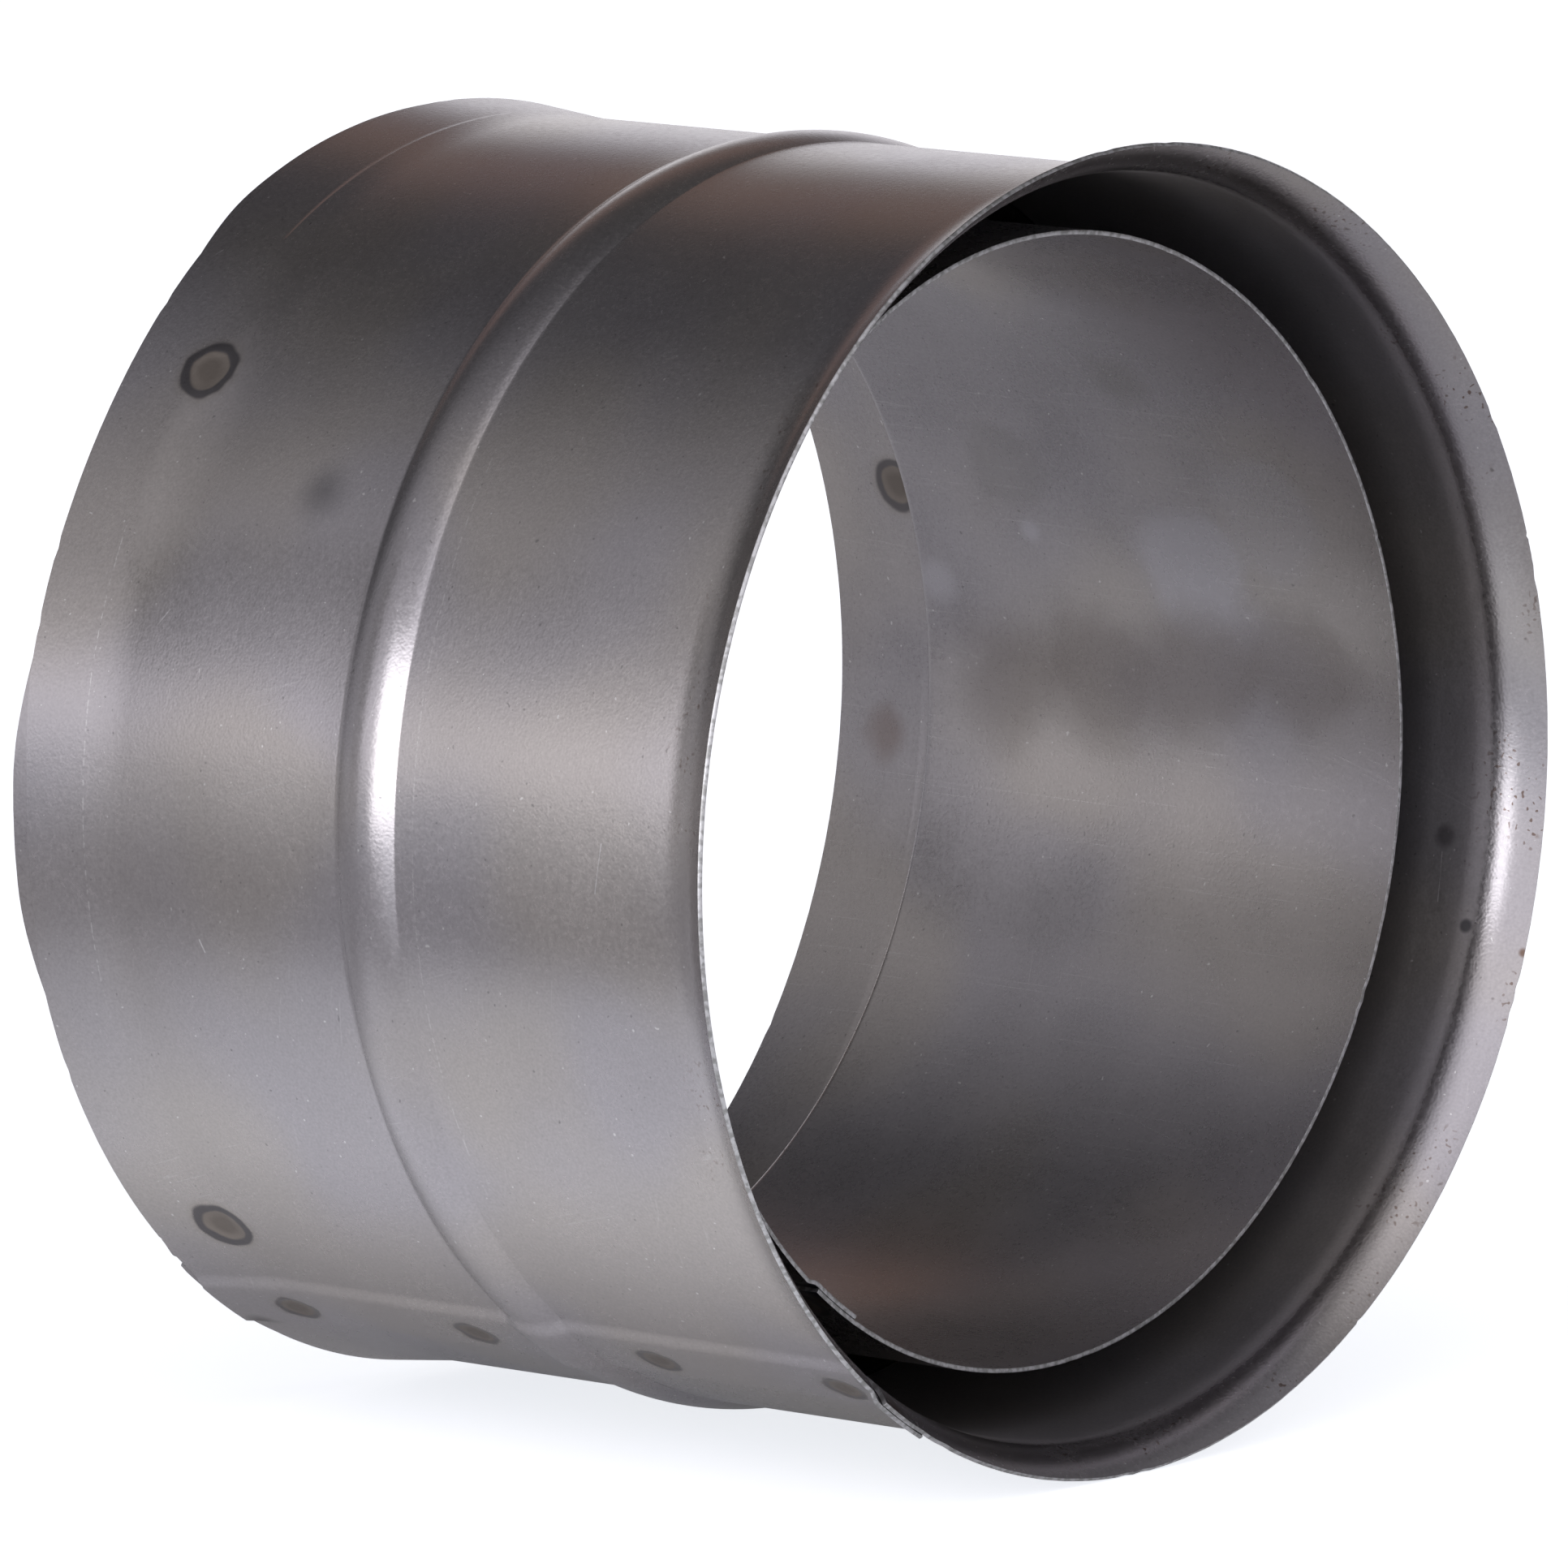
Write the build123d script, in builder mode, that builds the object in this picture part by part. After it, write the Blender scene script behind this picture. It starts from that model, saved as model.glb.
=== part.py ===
from build123d import *
import os
from math import atan, cos, degrees, radians, sin, tan

# Double-walled wall thimble for a flue pipe, rolled from bare steel sheet, all sizes in millimetres.
# Two sleeves, one inside the other, are spot-welded together round their back ends.
# The tubes lie along Y with +Z up, and the mouth on the room side faces -Y.
# The origin is the centre of the inner sleeve's front edge, where the flue pipe enters.
#
# Stations are distances along the tubes from the outer sleeve's back edge towards the mouth.
# Angles round the tubes are in degrees and run from the top (+Z) over the -X side to the bottom.

# Driving dimensions
sheet = 0.6  # thickness of both sheets
flue_bore_radius = 76.5  # inside of the inner sleeve, for a 150 mm flue pipe
wall_depth = 9.5  # from that inside to the outside of the outer sleeve
sleeve_length = 122.0  # back edge to the front of the lip
lip_height = 4.0  # how far the lip stands out from the outer sleeve
lip_angle = 47.0  # slope that the lip ends with
inner_setback = 15.5  # inner sleeve's front edge behind the lip's front
inner_projection = 2.2  # inner sleeve's back edge beyond the outer one

# Bead rolled round the outer sleeve
bead_station = 60.3
bead_width = 10.6
bead_height = 1.3

# Widened back ends of both sleeves, and the shoulder between the inner one's tube and its widened end
flare_length = 14.0
flare_growth = 1.5  # how much the outer sleeve's radius grows at its back edge
shoulder_station = 17.2  # where the inner sleeve turns in to its tube
shoulder_angle = 60.0

# Clearances
lap_gap = 0.1  # between the two layers of a lap seam
seat_gap = 0.1  # between the two sleeves where they nest

# Lap seams: one edge of the sheet is joggled by its thickness to lie over the other edge
outer_ramp_angle = 142.1  # where the outer sleeve's joggle starts
outer_ramp_run = 3.0
outer_lap = 10.0  # overlap past the joggle
inner_ramp_angle = 139.5
inner_ramp_run = 2.2
inner_lap = 9.6
edge_run = 0.5  # free run between the joggle and the covered edge

# Spot welds
nugget_radius = 2.2
mark_radius = 2.9  # of the mark that an electrode presses into the sheet
mark_depth = 0.12
outer_seam_first_weld = 12.7  # rearmost weld of the outer seam in front of its back edge
outer_seam_last_weld = 2.5  # foremost weld behind the start of the lip
outer_seam_weld_count = 4
inner_seam_first_weld = 5.0  # foremost weld of the inner seam behind the front edge
inner_seam_weld_count = 3
ring_weld_station = 13.0
ring_weld_angles = [48.2, 134.0, 210.0, 288.8]

# Lengths and radii that follow from the driving dimensions
sleeve_radius = flue_bore_radius + wall_depth
lap_step = sheet + lap_gap
inner_front_station = sleeve_length - inner_setback
lip_curve_radius = lip_height / (1 - cos(radians(lip_angle)))
lip_start = sleeve_length - (lip_curve_radius + sheet) * sin(radians(lip_angle))
seam_weld_pitch = (lip_start - outer_seam_last_weld - outer_seam_first_weld) / (outer_seam_weld_count - 1)
flare_angle = degrees(atan(flare_growth / flare_length))
seat_depth = sheet + seat_gap + sheet  # outside of the outer sleeve to inside of the inner one
seat_radius = sleeve_radius - seat_depth
seat_flare_station = flare_length - seat_depth * tan(radians(flare_angle / 2))
seat_flare_growth = (seat_flare_station + inner_projection) * tan(radians(flare_angle))
shoulder_run = (seat_radius - flue_bore_radius) / tan(radians(shoulder_angle))

mouthward = Axis((0, 0, 0), (0, -1, 0))  # angles grow by a turn about this axis


def arc_angle(length, radius):
    """The angle in degrees of an arc of this length and radius."""
    return degrees(length / radius)


def outside_radius(station):
    """The outer sleeve's outside radius at a station clear of the bead and the lip."""
    return sleeve_radius + max(flare_length - station, 0) * tan(radians(flare_angle))


def axial_plane(angle):
    """A plane through the tubes' axis: local X runs towards the mouth, local Y outwards."""
    turn = radians(angle)
    return Plane(
        origin=(0, inner_front_station, 0),
        x_dir=(0, -1, 0),
        z_dir=(-cos(turn), 0, -sin(turn)),
    )


def radial_plane(angle, station, radius, side=1):
    """A plane square to the radius at a station, facing outwards for a side of 1 and inwards for -1."""
    turn = radians(angle)
    return Plane(
        origin=(-radius * sin(turn), inner_front_station - station, radius * cos(turn)),
        x_dir=(0, -1, 0),
        z_dir=(-side * sin(turn), 0, side * cos(turn)),
    )


def draw_outer_line():
    """Draws the outside of the outer sleeve from its back edge to the lip."""
    flare = Line((0, outside_radius(0)), (flare_length, sleeve_radius))
    back = Line(flare @ 1, (bead_station - bead_width / 2, sleeve_radius))
    bead = ThreePointArc(
        back @ 1,
        (bead_station, sleeve_radius + bead_height),
        (bead_station + bead_width / 2, sleeve_radius),
    )
    front = Line(bead @ 1, (lip_start, sleeve_radius))
    JernArc(front @ 1, (1, 0), lip_curve_radius, lip_angle)


def draw_inner_line():
    """Draws the inside of the inner sleeve from its back edge to its front edge."""
    flare = Line((-inner_projection, seat_radius + seat_flare_growth), (seat_flare_station, seat_radius))
    strip = Line(flare @ 1, (shoulder_station, seat_radius))
    shoulder = Line(strip @ 1, (shoulder_station + shoulder_run, flue_bore_radius))
    Line(shoulder @ 1, (inner_front_station, flue_bore_radius))


def section(angle, draw_line, rise, thickness=sheet):
    """The sketch of an even thickness at an angle, its inner side raised from the drawn line."""
    with BuildSketch(axial_plane(angle)) as drawn:
        with BuildLine():
            draw_line()
            if rise:
                offset(amount=abs(rise), side=Side.LEFT if rise > 0 else Side.RIGHT,
                       closed=False, kind=Kind.INTERSECTION, mode=Mode.REPLACE)
            # A line offset outwards comes back reversed, so outwards is then to its right
            offset(amount=thickness, side=Side.RIGHT if rise > 0 else Side.LEFT,
                   kind=Kind.INTERSECTION, mode=Mode.REPLACE)
        make_face()
    return drawn.sketch


def roll_sheet(draw_line, rise, flap_rise, ramp_angle, ramp_end, covered_edge, flap_end):
    """Rolls a sheet from its covered edge round to the joggle and on to its lapping edge."""
    revolve(section(covered_edge, draw_line, rise), axis=mouthward,
            revolution_arc=360 + ramp_angle - covered_edge)
    flap = section(ramp_end, draw_line, flap_rise)
    loft([section(ramp_angle, draw_line, rise), flap], ruled=True)
    revolve(flap, axis=mouthward, revolution_arc=flap_end - ramp_end)


def weld_nuggets(planes, length):
    """Adds a weld nugget standing on each plane."""
    with Locations(*planes):
        Cylinder(nugget_radius, length, align=(Align.CENTER, Align.CENTER, Align.MIN))


def press_marks(planes):
    """Presses an electrode mark into the sheet, its flat bottom on each plane."""
    with Locations(*planes):
        Cylinder(mark_radius, 2 * mark_depth,
                 align=(Align.CENTER, Align.CENTER, Align.MIN), mode=Mode.SUBTRACT)


# Angles of the seams
outer_ramp_end = outer_ramp_angle + arc_angle(outer_ramp_run, sleeve_radius)
outer_covered_edge = outer_ramp_end + arc_angle(edge_run, sleeve_radius)
outer_flap_end = outer_ramp_end + arc_angle(outer_lap, sleeve_radius)
outer_weld_angle = (outer_covered_edge + outer_flap_end) / 2
inner_ramp_end = inner_ramp_angle + arc_angle(inner_ramp_run, flue_bore_radius)
inner_covered_edge = inner_ramp_end + arc_angle(edge_run, flue_bore_radius)
inner_flap_end = inner_ramp_end + arc_angle(inner_lap, flue_bore_radius)
inner_weld_angle = (inner_covered_edge + inner_flap_end) / 2

# Stations of the seam welds
outer_seam_welds = [outer_seam_first_weld + seam_weld_pitch * n for n in range(outer_seam_weld_count)]
inner_seam_welds = [
    inner_front_station - inner_seam_first_weld - seam_weld_pitch * n for n in range(inner_seam_weld_count)
]


# Nuggets that join the two sleeves: they fill the seat gap and reach halfway into the outer sheet
with BuildPart() as ring_nuggets:
    weld_nuggets(
        [radial_plane(angle, ring_weld_station, flue_bore_radius) for angle in ring_weld_angles],
        outside_radius(0) - flue_bore_radius,
    )
    seat_ring = section(0, draw_outer_line, -sheet - seat_gap, seat_gap + sheet / 2)
    revolve(seat_ring, axis=mouthward, mode=Mode.INTERSECT)


# Outer sleeve: rolled sheet with bead, lip, widened back end and a lap seam that steps outwards
with BuildPart() as outer_sleeve:
    roll_sheet(draw_outer_line, -sheet, lap_gap,
               outer_ramp_angle, outer_ramp_end, outer_covered_edge, outer_flap_end)
    weld_nuggets(
        [radial_plane(outer_weld_angle, station, outside_radius(station) - sheet / 2)
         for station in outer_seam_welds],
        lap_step,
    )
    add(ring_nuggets.part)
    press_marks([radial_plane(outer_weld_angle, station, outside_radius(station) + lap_step - mark_depth)
                 for station in outer_seam_welds])
    press_marks([radial_plane(angle, ring_weld_station, outside_radius(ring_weld_station) - mark_depth)
                 for angle in ring_weld_angles])
outer_sleeve.part.label = "outer_sleeve"


# Inner sleeve: rolled sheet with a shouldered, widened back end and a lap seam that steps inwards
with BuildPart() as inner_sleeve:
    roll_sheet(draw_inner_line, 0, -lap_step,
               inner_ramp_angle, inner_ramp_end, inner_covered_edge, inner_flap_end)
    weld_nuggets(
        [radial_plane(inner_weld_angle, station, flue_bore_radius - lap_step + sheet / 2)
         for station in inner_seam_welds],
        lap_step,
    )
    press_marks([radial_plane(inner_weld_angle, station, flue_bore_radius - lap_step + mark_depth, -1)
                 for station in inner_seam_welds])
    press_marks([radial_plane(angle, ring_weld_station,
                              outside_radius(ring_weld_station) - seat_depth + mark_depth, -1)
                 for angle in ring_weld_angles])
inner_sleeve.part.label = "inner_sleeve"


os.makedirs("parts", exist_ok=True)
export_step(outer_sleeve.part, "parts/outer_sleeve.step")
export_step(inner_sleeve.part, "parts/inner_sleeve.step")
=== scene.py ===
import logging
import math
from dataclasses import dataclass, field
from enum import Enum
from functools import reduce
from typing import Any, Iterable, Optional, Sequence, Union

import bpy
import numpy as np
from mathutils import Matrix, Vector


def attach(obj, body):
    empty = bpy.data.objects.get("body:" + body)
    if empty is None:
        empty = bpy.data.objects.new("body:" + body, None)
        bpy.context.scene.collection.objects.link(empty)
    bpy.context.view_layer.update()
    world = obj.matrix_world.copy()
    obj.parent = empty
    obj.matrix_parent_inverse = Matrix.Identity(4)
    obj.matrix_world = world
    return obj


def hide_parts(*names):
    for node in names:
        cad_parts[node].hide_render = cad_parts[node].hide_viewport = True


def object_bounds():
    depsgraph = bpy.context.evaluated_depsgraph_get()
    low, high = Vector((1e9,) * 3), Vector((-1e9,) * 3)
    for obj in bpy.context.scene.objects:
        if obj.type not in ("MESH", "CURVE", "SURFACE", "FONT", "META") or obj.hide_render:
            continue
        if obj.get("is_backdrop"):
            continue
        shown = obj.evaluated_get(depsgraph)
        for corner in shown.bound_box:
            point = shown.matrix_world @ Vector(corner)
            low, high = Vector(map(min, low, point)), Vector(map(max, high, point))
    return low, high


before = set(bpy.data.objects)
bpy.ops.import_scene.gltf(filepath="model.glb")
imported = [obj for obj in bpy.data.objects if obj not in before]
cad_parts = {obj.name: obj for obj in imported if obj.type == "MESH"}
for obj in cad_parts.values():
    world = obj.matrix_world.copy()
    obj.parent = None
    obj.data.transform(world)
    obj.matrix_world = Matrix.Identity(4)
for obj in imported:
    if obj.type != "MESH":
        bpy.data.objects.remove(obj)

# A double-walled wall thimble for a flue pipe, in bare rolled steel sheet, seen in a small studio.
# Lengths are in metres in the part's frame: +Z up, the mouth faces -Y, and the origin is the centre
# of the inner sleeve's front edge. Stations run from the outer sleeve's back edge to the mouth.
# Angles are in degrees from the top over the -X side.

log = logging.getLogger("scene")
MM = 0.001

SHEET = 0.6 * MM
LAP_GAP = 0.1 * MM
SEAT_GAP = 0.1 * MM
SLEEVE_RADIUS = 86.0 * MM
SLEEVE_LENGTH = 122.0 * MM
LIP_RADIUS = 90.0 * MM
LIP_ANGLE = 47.0
FLUE_BORE_RADIUS = 76.5 * MM
INNER_SETBACK = 15.5 * MM
INNER_PROJECTION = 2.2 * MM
INNER_FRONT = SLEEVE_LENGTH - INNER_SETBACK
FLARE_LENGTH = 14.0 * MM
FLARE_GROWTH = 1.5 * MM
RING_WELD_STATION = 13.0 * MM
RING_WELD_ANGLES = (48.2, 134.0, 210.0, 288.8)
SEAM_WELD_PITCH = 32.4 * MM
FLOOR_HEIGHT = -LIP_RADIUS

Number = Union[int, float]
Term = Union["Value", Number]
Colour = tuple[float, float, float, float]
Triple = tuple[float, float, float]
Inputs = dict[Any, Any]
Socket = bpy.types.NodeSocket


def place_at(angle: float, station: float, radius: float) -> Vector:
    """Gives the point at an angle, a station and a distance from the tubes' axis."""
    turn = math.radians(angle)
    return Vector((-radius * math.sin(turn), INNER_FRONT - station, radius * math.cos(turn)))


def grey(level: Number) -> Colour:
    """Gives an even grey of that level."""
    return (level, level, level, 1.0)


def smooth(share: np.ndarray) -> np.ndarray:
    """Eases values in and out between 0 and 1, which they are clipped to first."""
    held = np.clip(share, 0.0, 1.0)
    return held * held * (3.0 - 2.0 * held)


@dataclass(frozen=True)
class Value:
    """A float socket of a node tree that can be used in arithmetic."""

    canvas: "Canvas"
    socket: Socket

    def _math(self, operation: str, *terms: Term) -> "Value":
        """Adds a Math node on the terms and gives its result."""
        inputs = dict(enumerate(terms))
        return self.canvas.value("ShaderNodeMath", {"operation": operation}, inputs)

    def __add__(self, other: Term) -> "Value":
        """Returns self + other."""
        return self._math("ADD", self, other)

    __radd__ = __add__

    def __sub__(self, other: Term) -> "Value":
        """Returns self - other."""
        return self._math("SUBTRACT", self, other)

    def __rsub__(self, other: Term) -> "Value":
        """Returns other - self."""
        return self._math("SUBTRACT", other, self)

    def __mul__(self, other: Term) -> "Value":
        """Returns self * other."""
        return self._math("MULTIPLY", self, other)

    __rmul__ = __mul__

    def __neg__(self) -> "Value":
        """Returns -self."""
        return self._math("MULTIPLY", self, -1.0)

    def __abs__(self) -> "Value":
        """Returns |self|."""
        return self._math("ABSOLUTE", self)

    def root(self) -> "Value":
        """Returns the square root of self."""
        return self._math("SQRT", self)

    def most(self, other: Term) -> "Value":
        """Returns the larger of self and other."""
        return self._math("MAXIMUM", self, other)

    def least(self, other: Term) -> "Value":
        """Returns the smaller of self and other."""
        return self._math("MINIMUM", self, other)

    def arctan2(self, other: Term) -> "Value":
        """Returns the angle in radians of the point (other, self)."""
        return self._math("ARCTAN2", self, other)

    def step(self, low: Number, high: Number) -> "Value":
        """Maps self smoothly to 0 at low and 1 at high.

        Args:
            low: Where the result is 0. It may be above high.
            high: Where the result is 1.

        Returns:
            A value from 0 to 1.
        """
        if low > high:
            return 1.0 - self.step(high, low)
        settings = {"interpolation_type": "SMOOTHSTEP"}
        inputs = {"Value": self, "From Min": low, "From Max": high}
        return self.canvas.value("ShaderNodeMapRange", settings, inputs)

    def bump_at(self, centre: Number, width: Number) -> "Value":
        """Returns 1 where self is centre, falling smoothly to 0 at width away."""
        return abs(self - centre).step(width, 0.0)

    def between(self, low: Number, high: Number, soft: Number) -> "Value":
        """Returns 1 between low and high, falling smoothly to 0 over soft on either side."""
        return self.step(low - soft, low) * self.step(high + soft, high)


@dataclass
class Canvas:
    """A node tree under construction."""

    tree: bpy.types.NodeTree

    @classmethod
    def of(cls, owner: Union[bpy.types.Material, bpy.types.World]) -> "Canvas":
        """Empties the node tree of a material or a world and opens it.

        Args:
            owner: The material or world.

        Returns:
            The canvas on its tree.
        """
        owner.use_nodes = True
        owner.node_tree.nodes.clear()
        return cls(owner.node_tree)

    def node(
        self,
        kind: str,
        settings: Optional[dict[str, Any]] = None,
        inputs: Optional[Inputs] = None,
    ) -> bpy.types.Node:
        """Adds a node.

        Args:
            kind: The node's type.
            settings: Its properties.
            inputs: Socket names or numbers with their values, Value objects or sockets.

        Returns:
            The new node.
        """
        made = self.tree.nodes.new(kind)
        for name, setting in (settings or {}).items():
            setattr(made, name, setting)
        for name, given in (inputs or {}).items():
            socket = made.inputs[name]
            if isinstance(given, Value):
                self.tree.links.new(given.socket, socket)
            elif isinstance(given, Socket):
                self.tree.links.new(given, socket)
            else:
                socket.default_value = given
        return made

    def value(
        self, kind: str, settings: dict[str, Any], inputs: Inputs, output: Any = 0
    ) -> Value:
        """Adds a node and gives its float output of that name or number."""
        return Value(self, self.node(kind, settings, inputs).outputs[output])

    def parts(self, vector: Socket) -> tuple[Value, Value, Value]:
        """Splits a vector into its three values."""
        split = self.node("ShaderNodeSeparateXYZ", inputs={0: vector})
        x, y, z = (Value(self, part) for part in split.outputs)
        return x, y, z

    def vector(self, x: Term, y: Term, z: Term) -> Socket:
        """Joins three values into a vector."""
        return self.node("ShaderNodeCombineXYZ", inputs={0: x, 1: y, 2: z}).outputs[0]

    def vector_math(self, operation: str, inputs: Inputs, output: Any = 0) -> Socket:
        """Adds a Vector Math node and gives its output of that name or number."""
        return self.node("ShaderNodeVectorMath", {"operation": operation}, inputs).outputs[output]

    def noise(self, at: Socket, scale: Number, detail: Number = 2.0) -> Value:
        """Gives a noise from 0 to 1, with detail as its octaves."""
        inputs = {"Vector": at, "Scale": scale, "Detail": detail}
        return self.value("ShaderNodeTexNoise", {"noise_dimensions": "3D"}, inputs, "Fac")

    def distance(self, at: Socket, point: Vector) -> Value:
        """Gives the distance from a vector to a fixed point."""
        return Value(self, self.vector_math("DISTANCE", {0: at, 1: tuple(point)}, "Value"))

    def distance_to_line(self, at: Socket, start: Vector, end: Vector) -> Value:
        """Gives the distance from a vector to the straight piece between two fixed points.

        Args:
            at: The vector.
            start: One end of the piece.
            end: Its other end.

        Returns:
            The distance.
        """
        along = end - start
        offset = self.vector_math("SUBTRACT", {0: at, 1: tuple(start)})
        scaled = tuple(along / along.length_squared)
        share = self.vector_math("DOT_PRODUCT", {0: offset, 1: scaled}, "Value")
        held = self.value("ShaderNodeClamp", {}, {"Value": share})
        nearest = self.vector_math("SCALE", {0: tuple(along), "Scale": held})
        return Value(self, self.vector_math("DISTANCE", {0: offset, 1: nearest}, "Value"))

    def blend(self, share: Term, first: Any, second: Any, mode: str = "MIX") -> Socket:
        """Mixes that share of the second colour, or its socket, into the first."""
        settings = {"data_type": "RGBA", "blend_type": mode, "clamp_factor": True}
        return self.node("ShaderNodeMix", settings, {0: share, 6: first, 7: second}).outputs[2]

    def bump(self, height: Value) -> Socket:
        """Turns a height in metres into a normal."""
        inputs = {"Strength": 1.0, "Distance": 1.0, "Height": height}
        return self.node("ShaderNodeBump", inputs=inputs).outputs[0]

    def metal(
        self, colour: Socket, roughness: Value, height: Value, metallic: Term = 1.0
    ) -> None:
        """Ends a material with bare metal.

        Args:
            colour: The base colour.
            roughness: The roughness.
            height: The bump height in metres.
            metallic: How far the surface is bare metal.
        """
        inputs = {
            "Base Color": colour,
            "Metallic": metallic,
            "Roughness": roughness,
            "Normal": self.bump(height),
        }
        shader = self.node("ShaderNodeBsdfPrincipled", inputs=inputs)
        self.node("ShaderNodeOutputMaterial", inputs={"Surface": shader.outputs[0]})


# Colours of the bare sheet, of what has marked it, and of painted reflections and painted shade
COOL_SHEET = (1.0, 0.985, 1.03, 1.0)
WARM_SHEET = (1.02, 0.985, 0.95, 1.0)
SCRATCHED = grey(0.70)
ROLLED_LINE_HIGHLIGHT = grey(0.80)
GLINT = grey(0.85)
PIT = grey(0.10)
RUST = (0.12, 0.065, 0.04, 1.0)
HEAT_HALO = (0.27, 0.24, 0.19, 1.0)
HEAT_RING = (0.112, 0.107, 0.115, 1.0)
WELD_CENTRE = (0.20, 0.175, 0.155, 1.0)
WELD_RIM = (0.265, 0.235, 0.21, 1.0)
DARK_STAIN = (0.10, 0.10, 0.11, 1.0)
BLACKENED = (0.07, 0.065, 0.065, 1.0)
GREY_STAIN = (0.16, 0.15, 0.16, 1.0)
BROWN_STAIN = (0.15, 0.08, 0.045, 1.0)
BROWN_HEAT = (0.16, 0.09, 0.05, 1.0)
BLUE_HEAT = (0.09, 0.10, 0.17, 1.0)
# Painted reflection: a warm-brown patch of light painted on the bore.
WARM_PAINTED_REFLECTION = (0.36, 0.30, 0.27, 1.0)
RUSTY_HAZE = (0.22, 0.165, 0.15, 1.0)
# Painted shade for a dark band along the bore.
PAINTED_DARK_BAND = (0.26, 0.235, 0.225, 1.0)
GREY_HAZE = (0.27, 0.26, 0.255, 1.0)
DULL_PATCH = (0.31, 0.30, 0.305, 1.0)
# Painted reflection: a light, slightly blue patch painted on the bore.
PAINTED_REFLECTION = (0.50, 0.49, 0.53, 1.0)

# Scales of the noises, in periods a metre
GRAIN_SCALE = 2600.0
DOT_SCALE = 1500.0
SPECKLE_SCALE = 1300.0
TORN_SCALE = 1100.0
WOBBLE_SCALE = 420.0
CLOUD_SCALE = 70.0
PATCH_SCALE = 26.0


@dataclass(frozen=True)
class WeldLook:
    """How spot welds of one kind have coloured the surface: a dull disc in a dark heated ring."""

    places: tuple[Vector, ...]
    disc: float = 3.1 * MM
    ring: float = 4.5 * MM
    darkness: float = 0.95
    rim_width: float = 0.25 * MM
    ring_width: float = 0.35 * MM
    halo_out: float = 1.6 * MM
    halo_in: float = 0.8 * MM


@dataclass(frozen=True)
class StainAndPaintedLight:
    """A patch on the surface, even within its core, with an outline that may be ragged; some patches
    are stains, others are painted reflections and painted shade.
    """

    place: Vector
    radius: float
    colour: Colour
    strength: float
    core: float = 0.15
    ragged: float = 0.0

    @classmethod
    def at(
        cls, angle: float, station: float, out: float, size: float, colour: Colour, *look: float
    ) -> "StainAndPaintedLight":
        """Describes a patch by lengths in millimetres, with its strength, core and raggedness."""
        return cls(place_at(angle, station * MM, out * MM), size * MM, colour, *look)


@dataclass(frozen=True)
class Nicks:
    """Short straight scratches of one kind, each between two places."""

    ends: tuple[tuple[Vector, Vector], ...]
    width: float = 0.16 * MM
    colour: Colour = (0.85, 0.85, 0.87, 1.0)
    strength: float = 0.7


@dataclass(frozen=True)
class RolledLineAndHighlight:
    """A fine bright line round part of the sheet at one station, partly a roller's mark and partly a
    painted highlight on the lit side.
    """

    station: float
    first_angle: float
    last_angle: float
    strength: float = 0.5
    half_width: float = 0.14 * MM
    fade: float = 0.12


@dataclass(frozen=True)
class SheetFinish:
    """Bare cold-rolled steel sheet: satin, with mottling, scratches, specks and weld colours."""

    name: str
    tint: Colour
    roughness: float
    mottle: float = 0.1
    scratches: float = 0.3
    axial_scratches: float = 0.0
    rust_from: float = 1.0  # the place along Y from which specks of rust set in
    rust_fade: float = 9.0 * MM
    dull_within: float = 0.0  # the radius within which the sheet is duller
    welds: tuple[WeldLook, ...] = ()
    # Stains, and patches of painted reflection and painted shade.
    stains_and_painted_light: tuple[StainAndPaintedLight, ...] = ()
    nicks: tuple[Nicks, ...] = ()
    lines: tuple[RolledLineAndHighlight, ...] = ()

    def build(self) -> bpy.types.Material:
        """Makes the material."""
        return SheetPainter(self).paint()


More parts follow.
